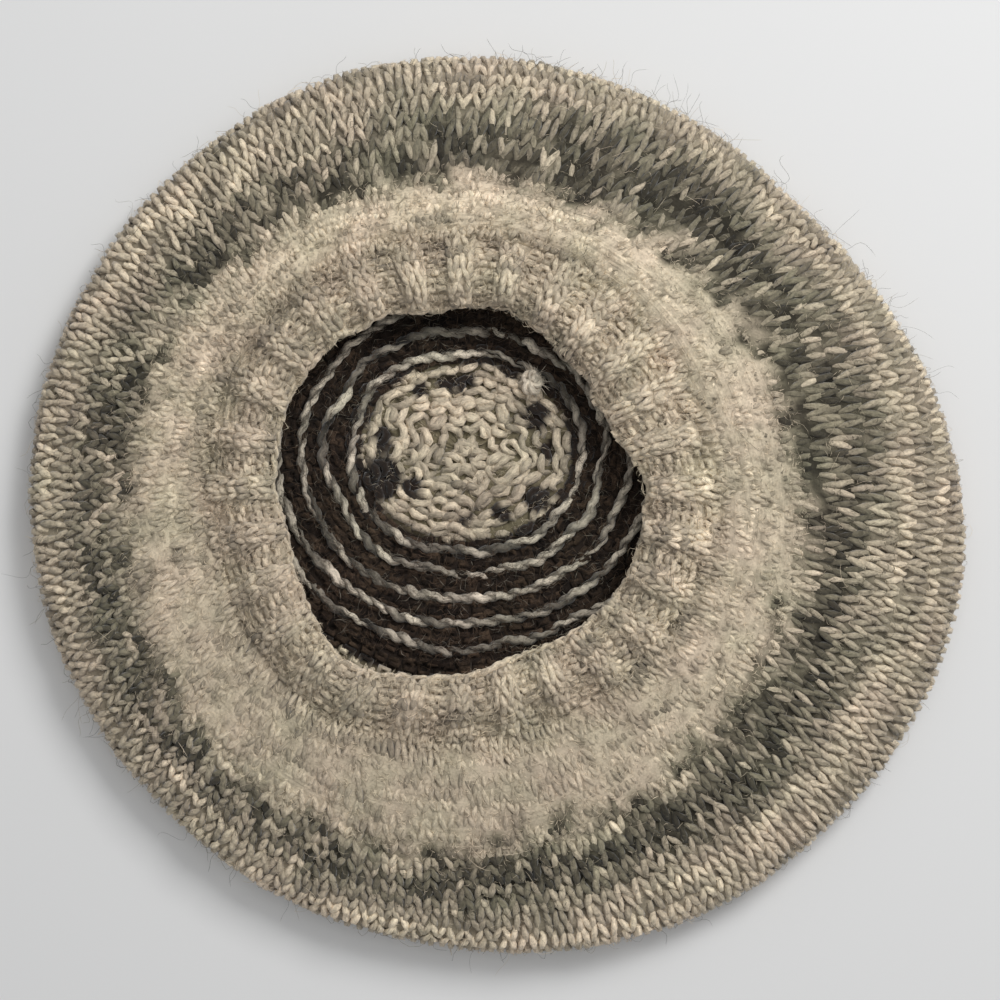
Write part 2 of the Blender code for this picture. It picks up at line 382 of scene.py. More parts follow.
class Cloth:
    """The middle of the hat's cloth as a surface of turn and station."""

    def __init__(self, sizes):
        self.sizes = sizes

    def mouth(self, turn):
        """The mouth's edge: its outline's shares of half its width, round its centre."""
        radius = self.sizes.mouth_width / 2 * outline_share(MOUTH_OUTLINE, turn)
        return around(self.sizes.mouth_centre, radius, turn)

    def foot(self, turn):
        """The band's foot: the mouth's outline, half as uneven and wider by the band."""
        uneven = 1 + (outline_share(MOUTH_OUTLINE, turn) - 1) / 2
        radius = self.sizes.mouth_width / 2 * uneven + self.sizes.band_width
        return around(self.sizes.mouth_centre, radius, turn)

    def rim(self, turn):
        """The rim: the outline fitted to the hat's width and depth, less half a wall."""
        whole_turn = np.radians(np.arange(360.0))
        whole = around((0.0, 0.0), outline_share(RIM_OUTLINE, whole_turn), whole_turn)
        low = whole.min(0)
        high = whole.max(0)
        size = np.array([self.sizes.hat_width, self.sizes.hat_depth]) - self.sizes.wall
        outline = around((0.0, 0.0), outline_share(RIM_OUTLINE, turn), turn)
        return (outline - (low + high) / 2) * size / (high - low)

    def fold(self, turn):
        """Where the cloth turns into the rim's fold: the rim moved in by the fold's radius."""
        rim = self.rim(turn)
        return rim - self.sizes.fold_radius * rim / np.linalg.norm(rim, axis=1, keepdims=True)

    def centre(self, turn):
        """The crown's centre, repeated for each turn."""
        return around(self.sizes.crown_centre, 0.0, turn)

    def relief(self, turn, station):
        """Ribs, gathers and dents: rib cosines that fade outwards, less a bell for each dent."""
        gathers = np.repeat([[row.gather] for row in SECTIONS], len(turn), 1)
        gather = smooth_through(gathers, station)
        in_band = np.clip(BAND_END + 0.5 - station, 0.0, 1.0)
        gather_depth = self.sizes.gather_depth
        depth = gather_depth + (self.sizes.rib_depth - gather_depth) * in_band
        height = gather * depth / 2 * np.cos(self.sizes.rib_count * turn)
        for dent in DENTS:
            across = (np.degrees(turn) - dent.degrees + 180.0) % 360.0 - 180.0
            along = (station - dent.station) / dent.stations_wide
            hollow = np.exp(-((across / dent.degrees_wide) ** 2) - along**2)
            height = height - dent.depth * self.sizes.hat_height * hollow
        return height * np.clip(RIM_FOLD - station, 0.0, 1.0)

    def middle(self, turn, station):
        """Points of the cloth's middle: each section's curve, joined smoothly, plus the relief."""
        crest = self.sizes.hat_height - self.sizes.wall / 2 - self.sizes.rib_depth / 2
        base = self.sizes.wall / 2
        points = []
        for section in SECTIONS:
            start = getattr(self, section.start)(turn)
            end = getattr(self, section.end)(turn)
            plan = start + (end - start) * section.share
            height = base + section.level * (crest - base)
            points.append(np.column_stack([plan, np.full(len(turn), height)]))
        middle = smooth_through(np.array(points), station)
        middle[:, 2] += self.relief(turn, station)
        return middle

    def grid(self, turns, stations):
        """The middle at every turn (columns) and station (rows) of a grid of stations."""
        turn = np.broadcast_to(turns, stations.shape).ravel()
        return self.middle(turn, stations.ravel()).reshape(stations.shape + (3,))


class KnitSheet:
    """A region of the cloth in knitting's own coordinates, turn and row, kept as a fine grid."""

    def __init__(self, points, rows, lumps=0.0):
        self.rows = rows
        self.steps = (points.shape[0] - 1) / rows
        self.points = points
        self.normals = self._normals()
        if lumps:
            self.points = points + self.normals * (lumps * self._waves())[..., None]
            self.normals = self._normals()
        self.along = np.gradient(self.points, axis=0) * self.steps

    def _normals(self):
        """Normals pointing out of the hat: the cross product of the grid's two directions."""
        across = np.roll(self.points, -1, 1) - np.roll(self.points, 1, 1)
        return unit(np.cross(np.gradient(self.points, axis=0), across))

    def _waves(self):
        """Slow lumps of hand-washed cloth: products of waves round the hat and across its rows."""
        row = np.arange(self.points.shape[0])[:, None] / self.steps
        turn = even_turns()[None]
        waves = np.sin(9 * turn + 0.5 * row + 1) * np.sin(0.55 * row + 2 * turn)
        waves = waves + 0.7 * np.sin(17 * turn - 0.7 * row) * np.cos(0.8 * row + 3 * turn)
        return waves + 0.5 * np.sin(31 * turn + 0.9 * row + 2)

    def _read(self, values, turn, row):
        """Values between the grid's points, by weighing the four nearest."""
        count = values.shape[1]
        column = (turn / (2 * np.pi) * count) % count
        line = np.clip(row * self.steps, 0, values.shape[0] - 1.001)
        left = np.floor(column).astype(int) % count
        low = np.floor(line).astype(int)
        s = (column - np.floor(column))[..., None]
        t = (line - low)[..., None]
        right = (left + 1) % count
        near = values[low, left] * (1 - s) + values[low, right] * s
        far = values[low + 1, left] * (1 - s) + values[low + 1, right] * s
        return near * (1 - t) + far * t

    def at(self, turn, row, offset):
        """The point at a turn and row, moved outwards along the normal, and that normal."""
        point = self._read(self.points, turn, row)
        normal = unit(self._read(self.normals, turn, row))
        beyond = np.clip(row, None, 0) + np.clip(row - self.rows, 0, None)
        point = point + self._read(self.along, turn, row) * beyond[..., None]
        return point + normal * np.asarray(offset)[..., None], normal

    def ring(self, row):
        """Points of the cloth's middle once round at a row."""
        turns = even_turns()
        return self.at(turns, np.full(len(turns), float(row)), np.zeros(len(turns)))[0]

    def round_length(self, row):
        """The length of a whole turn at a row."""
        points = self.ring(row)
        return np.linalg.norm(np.roll(points, -1, 0) - points, axis=1).sum()

    def row_height(self, row):
        """The mean distance from a row to the next."""
        return np.linalg.norm(self.ring(row + 1.0) - self.ring(row), axis=1).mean()


def look_up(wanted, known, values):
    """Values where a rising known quantity reaches what is wanted, each column by itself."""
    columns = range(wanted.shape[1])
    if values.ndim == 1:
        values = np.repeat(values[:, None], len(columns), 1)
    return np.stack([np.interp(wanted[:, k], known[:, k], values[:, k]) for k in columns], 1)


def rows_by_length(cloth, first, last, targets):
    """A grid of points whose rows lie at target lengths along the cloth, from one station on.

    The cloth's length is summed along every turn, and each target length is looked up in it.
    """
    turns = even_turns()
    stations = np.linspace(first, last, GRID_STATIONS)
    fine = cloth.grid(turns, np.repeat(stations[:, None], len(turns), 1))
    lengths = np.concatenate(
        [np.zeros((1, len(turns))), np.linalg.norm(np.diff(fine, axis=0), axis=2).cumsum(0)]
    )
    return cloth.grid(turns, look_up(targets(fine, lengths), lengths, stations))


def band_sheet(cloth):
    """The band in even rows from just outside the mouth's edge to its foot."""

    def targets(fine, lengths):
        share = np.linspace(0, 1, BAND_ROWS * GRID_STEPS_PER_ROW + 1)[:, None]
        return EDGE_INSET + share * (lengths[-1] - EDGE_INSET)

    return KnitSheet(rows_by_length(cloth, 0.0, BAND_END, targets), BAND_ROWS)


def underside_sheet(cloth):
    """The body in rows from the band's foot, over the rim, to a little way under the hat.

    The grey ring lies between two circles that sway by a cosine of the turn, so the rows inside
    it and in it are spread evenly between the foot and those two. Outside it they lie a pitch
    apart, closer where the cloth would otherwise reach too far under the hat.
    """

    def length_at(circle, fine, lengths):
        radius = circle.radius + circle.sway * np.cos(even_turns() - np.radians(circle.degrees))
        away = np.linalg.norm(fine[..., :2] - np.array(GREY_CENTRE), axis=2)
        before_rim = int(fine.shape[0] * (RIM_FOLD - BAND_END) / (UNDER_LIMIT - BAND_END))
        return look_up(radius[None], away[:before_rim], lengths[:before_rim])[0]

    def targets(fine, lengths):
        inner = length_at(GREY_INNER, fine, lengths)
        outer = length_at(GREY_OUTER, fine, lengths)
        seam = (UNDERSIDE_END - BAND_END) / (UNDER_LIMIT - BAND_END) * (len(lengths) - 1)
        reach = lengths[int(round(seam))] + UNDER_REACH
        end = np.minimum(outer + (UNDERSIDE_ROWS - GREY_END_ROW) * ROW_PITCH, reach)
        knots = np.stack([np.zeros_like(inner), inner, outer, end])
        at = np.array([0.0, GREY_START_ROW, GREY_END_ROW, UNDERSIDE_ROWS])
        rows = np.linspace(0, UNDERSIDE_ROWS, UNDERSIDE_ROWS * GRID_STEPS_PER_ROW + 1)
        columns = np.ones((1, knots.shape[1]))
        return look_up(rows[:, None] * columns, at[:, None] * columns, knots)

    grid = rows_by_length(cloth, BAND_END, UNDER_LIMIT, targets)
    return KnitSheet(grid, UNDERSIDE_ROWS, lumps=0.00022)


def crown_shares():
    """The seen rounds' shares of half the hat's width, evenly spread from first to last."""
    return np.linspace(FIRST_ROUND, LAST_ROUND, CROWN_ROUNDS + 1)


def crown_line(share):
    """The crown sheet's row at a share of half the hat's width."""
    shares = crown_shares()
    rows = CROWN_OUTER_ROUNDS + np.arange(len(shares))
    return float(np.interp(-share, -shares, rows))


def crown_sheet(cloth):
    """The crown in rounds: circles, stretched sideways, that widen into the underside's end."""
    sizes = cloth.sizes
    turns = even_turns()
    end = underside_sheet(cloth).points[-1, :, :2]
    away = end - np.array(sizes.crown_centre)
    angle = np.arctan2(away[:, 1], away[:, 0])
    order = np.argsort(angle)
    radius = np.linalg.norm(away, axis=1)
    end_radius = np.interp(turns, angle[order], radius[order], period=2 * np.pi)
    half = sizes.hat_width / 2
    circle = crown_shares()[:, None] * half
    widening = np.clip(circle / (0.15 * half), 0, 1)
    near = circle + sizes.round_stretch * widening * np.cos(turns) ** 2
    spread = np.linspace(1.0, 0.0, CROWN_OUTER_ROUNDS + 1)[:-1, None]
    far = near[0] + (end_radius - near[0]) * spread
    rounds = np.concatenate([far, near])
    count = len(rounds) - 1
    lines = np.arange(count * GRID_STEPS_PER_ROW + 1) / GRID_STEPS_PER_ROW
    low = np.clip(np.floor(lines).astype(int), 0, count - 1)
    t = (lines - low)[:, None]
    plan = around(sizes.crown_centre, rounds[low] * (1 - t) + rounds[low + 1] * t, turns)
    heights = sizes.wall / 2 + crown_lumps(sizes, plan)
    return KnitSheet(np.concatenate([plan, heights[..., None]], 2), count)


def crown_lumps(sizes, plan):
    """Low lumps where the crown lies loose: the sum of two slow waves, where it is above 0."""
    x = plan[..., 0] / sizes.hat_width
    y = plan[..., 1] / sizes.hat_width
    waves = np.sin(31 * x + 2.0) * np.sin(27 * y + 0.6) + 0.6 * np.sin(50 * x - 38 * y)
    return 0.0006 * np.clip(waves, 0, None)


# Stitches and meshes


def smooth_noise(rng, count, width):
    """Closed random noise of unit spread: white noise blurred round the loop over a width."""
    wave = np.fft.rfft(rng.standard_normal(count))
    wave[0] = 0
    blur = np.exp(-0.5 * (2 * np.pi * np.fft.rfftfreq(count) * width) ** 2)
    noise = np.fft.irfft(wave * blur, count)
    return noise / (noise.std() + 1e-9)


def cloth_noise(rng, lines, turns, line_width, turn_width):
    """Random noise of unit spread over a grid: white noise blurred along both of its ways."""
    wave = np.fft.fft2(rng.standard_normal((lines, turns)))
    down = np.exp(-0.5 * (2 * np.pi * np.fft.fftfreq(lines) * line_width) ** 2)
    along = np.exp(-0.5 * (2 * np.pi * np.fft.fftfreq(turns) * turn_width) ** 2)
    noise = np.fft.ifft2(wave * down[:, None] * along[None]).real
    return noise / noise.std()


def knit_face(column):
    """Plain knitting: every stitch faces out."""
    return np.ones_like(column)


def rib_face(column):
    """Two knit, two purl: a rounded square wave, 1 on the knit pairs and -1 on the purl pairs."""
    return np.clip(2.2 * np.sin(np.pi * (column + 1) / 2), -1, 1)


Loops = namedtuple(
    "Loops", "count steps lean height depth radius swell tilt wild relief face",
    defaults=(0.0, 1.0, 0.0, knit_face),
)
Yarn = namedtuple("Yarn", "points normals radius")


def drift(turn, row):
    """How far rows stray from their even course: slow waves round the hat."""
    return 0.20 * np.sin(5 * turn + 0.35 * row + 1) + 0.14 * np.sin(11 * turn - 0.4 * row)


def stitch_row(sheet, row, loops, rng):
    """One closed row of knitting: the yarn's path, normals and radius at every step.

    With t going round once a stitch, the yarn runs along the row by t plus a sideways swing
    lean * sin 2t, up and down it by -height * cos t, and out and in by -depth * cos 2t, so the
    legs of each loop stand out and its head and foot lie in. Tilt * cos t lifts the foot over
    the head. Purl stitches swap out and in. What stands out swells by -swell * cos 2t, as wool
    does where it isn't pinched.
    """
    steps = loops.count * loops.steps

    def stray(strength, width, wild=loops.wild):
        return strength * wild * smooth_noise(rng, steps, width)

    t = (np.arange(steps) + 0.5) * 2 * np.pi / loops.steps
    swing = loops.lean * (1 + stray(LEAN_VARIES, loops.steps))
    column = t / (2 * np.pi) + swing * np.sin(2 * t)
    column = column + stray(COLUMN_VARIES, loops.steps * 0.9)
    column = column + stray(COLUMN_TREMBLES, loops.steps / 6)
    height = loops.height * (1 + stray(HEIGHT_VARIES, loops.steps))
    turn = column / loops.count * 2 * np.pi
    line = row - height * np.cos(t) + stray(LINE_VARIES, loops.steps * 0.7)
    line = line + loops.wild * drift(turn, row)
    side = loops.face(column)
    offset = -side * (loops.depth * np.cos(2 * t) - loops.tilt * np.cos(t)) + loops.relief * side
    offset = offset + stray(LIFT_VARIES, loops.steps / 3)
    points, normals = sheet.at(turn, line, offset)
    thick = 1 - loops.swell * side * np.cos(2 * t)
    thick = thick + stray(SHORT_THICKNESS_VARIES, loops.steps / 4, wild=1)
    thick = thick + stray(LONG_THICKNESS_VARIES, loops.steps * 2, wild=1)
    radius = loops.radius * np.clip(thick, 0.35, 1.8)
    points[:, 2] = np.maximum(points[:, 2], radius * YARN_CLEARANCE)
    return Yarn(points, normals, radius)


def tube_rings(yarn, sides):
    """Rings round a closed yarn: point + radius * (cos a * across + squash * sin a * up).

    Across is square to the path and its normal, up is square to the path and across, and the
    squash flattens the yarn a little.
    """
    points = yarn.points
    ahead = unit(np.roll(points, -1, 0) - np.roll(points, 1, 0))
    across = unit(np.cross(yarn.normals, ahead), TINY)
    up = np.cross(ahead, across)
    angle = -np.pi / 2 + even_turns(sides)
    spread = yarn.radius[:, None, None]
    ring = np.cos(angle)[None, :, None] * across[:, None] * spread
    ring = ring + np.sin(angle)[None, :, None] * up[:, None] * spread * YARN_SQUASH
    return points[:, None] + ring


def add_object(name, data):
    """A new object of a mesh, light or camera, in the scene."""
    thing = bpy.data.objects.new(name, data)
    bpy.context.scene.collection.objects.link(thing)
    return thing


class MeshParts:
    """Gathers points and faces into one mesh, with a UV map and a colour for each point."""

    def __init__(self):
        self.points = []
        self.faces = []
        self.uvs = []
        self.colours = []
        self.count = 0

    def add(self, points, faces, uvs, colours):
        """Adds points and faces of 3 or 4 corners, with a UV for each corner."""
        self.points.append(points.reshape(-1, 3))
        self.colours.append(colours.reshape(-1, 3))
        for face, uv in zip(faces, uvs):
            self.faces.append(face.reshape(-1, face.shape[-1]) + self.count)
            self.uvs.append(uv.reshape(-1, 2))
        self.count += points.size // 3

    def add_tube(self, rings, colours, u):
        """Adds rings that close on themselves both ways: along the yarn and round it.

        U is each ring's length along the yarn, and v goes once round it. The colours are one for
        each ring or one for each point.
        """
        rows, columns = rings.shape[:2]
        index = np.arange(rows * columns).reshape(rows, columns)
        ahead = np.roll(index, -1, 0)
        quads = np.stack([index, np.roll(index, -1, 1), np.roll(ahead, -1, 1), ahead], -1)
        step = np.diff(u, append=2 * u[-1] - u[-2])
        low = np.repeat(u[:, None], columns, 1)
        high = low + step[:, None]
        v = np.repeat(np.arange(columns)[None] / columns, rows, 0)
        w = v + 1.0 / columns
        uvs = np.stack([low, v, low, w, high, w, high, v], -1)
        if len(colours) == rows:
            colours = np.repeat(colours, columns, 0)
        self.add(rings, [quads], [uvs], colours)

    def add_fibres(self, paths, radius, colours, refs):
        """Adds many fibres at once, each pointed at both ends with rings of three between.

        Paths holds each fibre's points, radius and colours one row for each fibre, and refs a
        direction to start the rings from.
        """
        count, length = paths.shape[:2]
        inner = paths[:, 1:-1]
        ahead = unit(paths[:, 2:] - paths[:, :-2], TINY)
        across = unit(np.cross(refs[:, None], ahead), TINY)
        up = np.cross(ahead, across)
        angle = even_turns(3)
        spread = radius[:, None, None, None]
        ring = np.cos(angle)[:, None] * across[:, :, None]
        ring = ring + np.sin(angle)[:, None] * up[:, :, None]
        rings = (inner[:, :, None] + ring * spread).reshape(count, -1, 3)
        points = np.concatenate([paths[:, :1], rings, paths[:, -1:]], 1)
        each = points.shape[1]
        start = np.arange(count)[:, None, None] * each
        k = np.arange(3)
        nxt = (k + 1) % 3
        first = np.stack([np.zeros(3, int), 1 + nxt, 1 + k], -1)
        final = 1 + 3 * (length - 3)
        last = np.stack([np.full(3, each - 1), final + k, final + nxt], -1)
        tips = start + np.concatenate([first, last])[None]
        faces = [tips]
        uvs = [np.zeros(tips.shape + (2,))]
        if length > 3:
            low = 1 + 3 * np.arange(length - 3)[:, None]
            quads = np.stack([low + k, low + nxt, low + 3 + nxt, low + 3 + k], -1).reshape(-1, 4)
            sides = start + quads[None]
            faces.append(sides)
            uvs.append(np.zeros(sides.shape + (2,)))
        self.add(points, faces, uvs, np.repeat(colours, each, 0))

    def build(self, name, material):
        """Makes the mesh and its object, which stays at the origin."""
        points = np.concatenate(self.points)
        sizes = np.concatenate([np.full(len(face), face.shape[1]) for face in self.faces])
        corners = np.concatenate([face.ravel() for face in self.faces])
        uvs = np.concatenate(self.uvs)
        colours = np.concatenate(self.colours)
        mesh = bpy.data.meshes.new(name)
        mesh.vertices.add(len(points))
        mesh.vertices.foreach_set("co", points.astype(np.float32).ravel())
        mesh.loops.add(len(corners))
        mesh.loops.foreach_set("vertex_index", corners.astype(np.int32))
        mesh.polygons.add(len(sizes))
        starts = np.concatenate([[0], np.cumsum(sizes)[:-1]])
        mesh.polygons.foreach_set("loop_start", starts.astype(np.int32))
        mesh.polygons.foreach_set("use_smooth", np.ones(len(sizes), bool))
        layer = mesh.uv_layers.new(name="yarn")
        layer.uv.foreach_set("vector", uvs.astype(np.float32).ravel())
        paint = mesh.color_attributes.new("wool", "FLOAT_COLOR", "POINT")
        rgba = np.concatenate([colours, np.ones((len(colours), 1))], 1)
        paint.data.foreach_set("color", rgba.astype(np.float32).ravel())
        mesh.update(calc_edges=True)
        mesh.validate()
        mesh.materials.append(material)
        return add_object(name, mesh)


# Wool


class Socket:
    """A node's output that works in arithmetic by adding Math nodes."""

    def __init__(self, shader, link):
        self.shader = shader
        self.link = link

    def _math(self, operation, first, second):
        node = self.shader.node("ShaderNodeMath", {"operation": operation}, {0: first, 1: second})
        return Socket(self.shader, node.outputs[0])

    def __add__(self, other):
        return self._math("ADD", self, other)

    __radd__ = __add__

    def __sub__(self, other):
        return self._math("SUBTRACT", self, other)

    def __rsub__(self, other):
        return self._math("SUBTRACT", other, self)

    def __mul__(self, other):
        return self._math("MULTIPLY", self, other)

    __rmul__ = __mul__


class Shader:
    """A material's node tree, built a node at a time."""

    def __init__(self, name):
        self.material = bpy.data.materials.new(name)
        self.material.use_nodes = True
        self.tree = self.material.node_tree
        self.tree.nodes.clear()

    def node(self, kind, settings=None, inputs=None):
        """Adds a node: its settings are set first, then the values or links of its sockets."""
        node = self.tree.nodes.new(kind)
        for key, value in (settings or {}).items():
            setattr(node, key, value)
        for key, value in (inputs or {}).items():
            socket = node.inputs[key]
            if isinstance(value, Socket):
                value = value.link
            if isinstance(value, bpy.types.NodeSocket):
                self.tree.links.new(value, socket)
            else:
                socket.default_value = value
        return node

    def value(self, kind, output=0, settings=None, inputs=None):
        """The chosen output of a new node, ready for arithmetic."""
        return Socket(self, self.node(kind, settings, inputs).outputs[output])

    def finish(self, surface):
        """Links a surface shader to the material's output."""
        self.node("ShaderNodeOutputMaterial", None, {"Surface": surface.outputs[0]})
        return self.material


# Finishes: how rough the wool is, how much it shines softly, how deep its bump is and how much
# its streaks and flecks vary its tone
Finish = namedtuple("Finish", "name roughness sheen bump streaks flecks")
YARN_FINISH = Finish("spun_wool", 0.95, 0.30, 0.8, 1.4, 0.6)
DARK_YARN_FINISH = Finish("dark_spun_wool", 0.95, 0.03, 0.9, 1.8, 2.2)
FELT_FINISH = Finish("felted_wool", 0.95, 0.20, 0.8, 0.3, 0.8)
FIBRE_FINISH = Finish("loose_wool", 0.75, 0.05, 0.1, 0.2, 0.1)
STREAKS_ALONG = (0.6, 7.0, 1.0)
FLECKS_PER_METRE = 1500.0
PATCHES_PER_METRE = 55.0
BUMP_HEIGHT = 0.0006
PINKER = (1.03, 0.99, 0.965)
GREENER = (0.93, 0.95, 0.89)


def wool_material(finish):
    """Wool: the piece's own colours, streaked along the yarn, matt with a soft sheen.

    The streaks are noise stretched along the yarn's length, the flecks are fine noise in space,
    and both also make the bump. Slow patches tint the wool a little pinker or greener.
    """
    shader = Shader(finish.name)

    def noise(dimensions, vector, scale, detail, roughness):
        return shader.value(
            "ShaderNodeTexNoise", "Fac", {"noise_dimensions": dimensions},
            {"Vector": vector, "Scale": scale, "Detail": detail, "Roughness": roughness},
        )

    uv = shader.value("ShaderNodeUVMap", 0, {"uv_map": "yarn"})
    stretched = shader.value(
        "ShaderNodeMapping", 0, {"vector_type": "POINT"}, {"Vector": uv, "Scale": STREAKS_ALONG}
    )
    streaks = noise("2D", stretched, 1.0, detail=3.0, roughness=0.62)
    place = shader.value("ShaderNodeTexCoord", "Object")
    flecks = noise("3D", place, FLECKS_PER_METRE, detail=2.0, roughness=0.6)
    wool = shader.value("ShaderNodeVertexColor", "Color", {"layer_name": "wool"})
    tone = 1.0 + (streaks - 0.5) * finish.streaks + (flecks - 0.5) * finish.flecks
    patches = noise("3D", place, PATCHES_PER_METRE, detail=3.0, roughness=0.55)
    tint = shader.value(
        "ShaderNodeMix", 1, {"data_type": "VECTOR"},
        {"Factor": (patches - 0.35) * 3.0, 4: PINKER, 5: GREENER},
    )
    toned = shader.value(
        "ShaderNodeVectorMath", 0, {"operation": "SCALE"}, {0: wool, "Scale": tone}
    )
    tinted = shader.value(
        "ShaderNodeVectorMath", 0, {"operation": "MULTIPLY"}, {0: toned, 1: tint}
    )
    bump = shader.node(
        "ShaderNodeBump", None,
        {"Strength": finish.bump, "Distance": BUMP_HEIGHT, "Height": streaks * 0.7 + flecks * 0.3},
    )
    surface = shader.node(
        "ShaderNodeBsdfPrincipled", None,
        {
            "Base Color": tinted,
            "Roughness": finish.roughness,
            "Specular IOR Level": 0.2,
            "Sheen Weight": finish.sheen,
            "Sheen Roughness": 0.5,
            "Normal": bump.outputs["Normal"],
        },
    )
    return shader.finish(surface)


def material_for(finish):
    """The material of a finish, made once."""
    return bpy.data.materials.get(finish.name) or wool_material(finish)


# Colours of the yarn


def colour_of(context, name):
    """One of the wool colours as an array."""
    return np.array(getattr(context.scene.tam_colours, name))


def mixed(first, second, share):
    """Colours between two others, by a share for each."""
    return first * (1 - share[..., None]) + second * share[..., None]


def varied(rng, colours, steps, strength):
    """A row's leg colours spread over its steps, lighter and darker by turns.

    The tone is 1 plus short and long closed noise.
    """
    along = np.repeat(colours, steps // 2, 0)
    count = len(along)
    tone = 1 + strength * smooth_noise(rng, count, steps * 0.4)
    tone = tone + strength * 0.8 * smooth_noise(rng, count, steps * 5)
    return np.clip(along * np.clip(tone, 0.4, 1.7)[:, None], 0, 1)


def plain_colours(rng, wool, count, steps, strength):
    """Colours of count points of a yarn in one wool, lighter and darker by turns."""
    return varied(rng, np.repeat(wool[None], count // (steps // 2), 0), steps, strength)


def grey_field(sheet_rows, rng):
    """How grey the body's cloth is, as a function of turn and row: 0 cream, 1 dark grey.

    It is a bell across the grey ring, raised to a power so that its top is broad and a little
    narrower at the left, whose place is shifted by blotchy noise and whose depth is mottled by
    finer noise. It is darkest at the upper right and lightest at the upper left, by a cosine of
    the turn and four bells.
    """
    lines = sheet_rows * FIELD_LINES_PER_ROW + 1
    blotches = cloth_noise(rng, lines, FIELD_TURNS, 2.6, 2.6)
    patches = cloth_noise(rng, lines, FIELD_TURNS, 8.0, 20.0)
    mottles = cloth_noise(rng, lines, FIELD_TURNS, 1.3, 1.3)
    middle = (GREY_START_ROW + GREY_END_ROW) / 2
    half = (GREY_END_ROW - GREY_START_ROW) / 2

    def share(turn, row):
        column = np.round(turn / (2 * np.pi) * FIELD_TURNS).astype(int) % FIELD_TURNS
        line = np.clip(np.round(row * FIELD_LINES_PER_ROW).astype(int), 0, lines - 1)
        here = row + 0.55 * blotches[line, column] + 0.30 * patches[line, column]
        width = half * (0.985 + 0.035 * np.cos(turn))
        bell = np.exp(-np.abs((here - middle) / width) ** 2.6)
        tone = 0.85 + 0.10 * np.cos(turn - np.radians(20)) + 0.20 * blotches[line, column]
        for bell_turn, rise in GREY_BELLS:
            tone = tone + rise * np.exp(-(((turn - bell_turn) / GREY_BELL_WIDTH) ** 2))
        tone = tone + 0.16 * mottles[line, column]
        return np.clip(bell * tone, 0, 1)

    return share


def painted_light_and_shade(turn, row):
    """Painted light and shade on the body's wool: bells across its rows, cosines of the turn.

    Painted shade darkens the valley round the band, most of all at the lower left. The rows after
    it get painted light at the top and painted shade at the bottom, and the rim gets painted shade
    at the upper right and painted light at the lower left.
    """
    # Painted shade in the valley, painted light and shade on the slope and at the rim
    low = 0.60 + 0.40 * np.cos(turn - np.radians(240))
    valley = 0.24 * low * np.exp(-(((row - 1.2) / 1.9) ** 2))
    slope = 0.20 * np.sin(turn) + 0.02 * np.cos(turn) + 0.10 * np.clip(np.sin(turn), 0, 1) ** 4
    slope = slope * np.exp(-(((row - 4.2) / 2.6) ** 2))
    rim = (0.030 + 0.090 * np.cos(turn - np.radians(35))) * np.clip((row - 13) / 2, 0, 1)
    return 1 - valley + slope - rim


def grey_colours(context, share):
    """Colours by share: cream through grey to dark grey."""
    cream = colour_of(context, "cream")
    grey = mixed(cream, colour_of(context, "grey"), np.clip(share / 0.62, 0, 1))
    return mixed(grey, colour_of(context, "dark_grey"), np.clip((share - 0.62) / 0.38, 0, 1))


# Knitting


def finish_piece(parts, name, finish, node):
    """Builds a piece that rides on the hat and stands for its frame node, which it hides."""
    piece = parts.build(name, material_for(finish))
    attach(piece, "root")
    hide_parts(node)


def loop_lean(height, width):
    """The sideways swing, as a share of the stitch's width, that hooks each loop on the next."""
    return (0.47 * height / width + 0.159) / 2


def knit_rows(sheet, rows, loops_of, colours_of, sides, seed, repaint=None):
    """The parts of a piece of knitting: one closed tube of yarn for each row.

    Repaint is given when the piece is seen from its wrong side, and changes the points' colours.
    Every yarn gets painted shade where it lies deep in the cloth, deeper from the wrong side.
    """
    rng = np.random.default_rng(seed)
    parts = MeshParts()
    for row in rows:
        loops = loops_of(row)
        yarn = stitch_row(sheet, row + 0.5, loops, rng)
        colours = varied(rng, colours_of(row, loops.count, rng), loops.steps, 0.17)
        t = (np.arange(len(colours)) + 0.5) * 2 * np.pi / loops.steps
        # Painted shade where the yarn dives into the cloth: a knit stitch's head and foot, a purl
        # one's legs
        facing = -1 if repaint else loops.face(t / (2 * np.pi))
        dive_shade = (1 + facing * np.cos(2 * t)) / 2
        colours = colours * (1 - (0.45 if repaint else 0.24) * dive_shade)[:, None]
        if repaint:
            colours = repaint(yarn.points, colours)
        add_yarn(parts, yarn, colours, sides, 37.0 * row)
    return parts


def add_yarn(parts, yarn, colours, sides=YARN_SIDES, first_length=0.0):
    """Adds a closed yarn as a tube, its UV measured along it in millimetres."""
    rings = tube_rings(yarn, sides)
    length = np.linalg.norm(np.roll(yarn.points, -1, 0) - yarn.points, axis=1)
    u = np.concatenate([[0.0], length.cumsum()[:-1]]) * 1000 + first_length
    parts.add_tube(rings, colours, u)


Felt = namedtuple("Felt", "name node turns lines_per_row past side inner rough dimple")


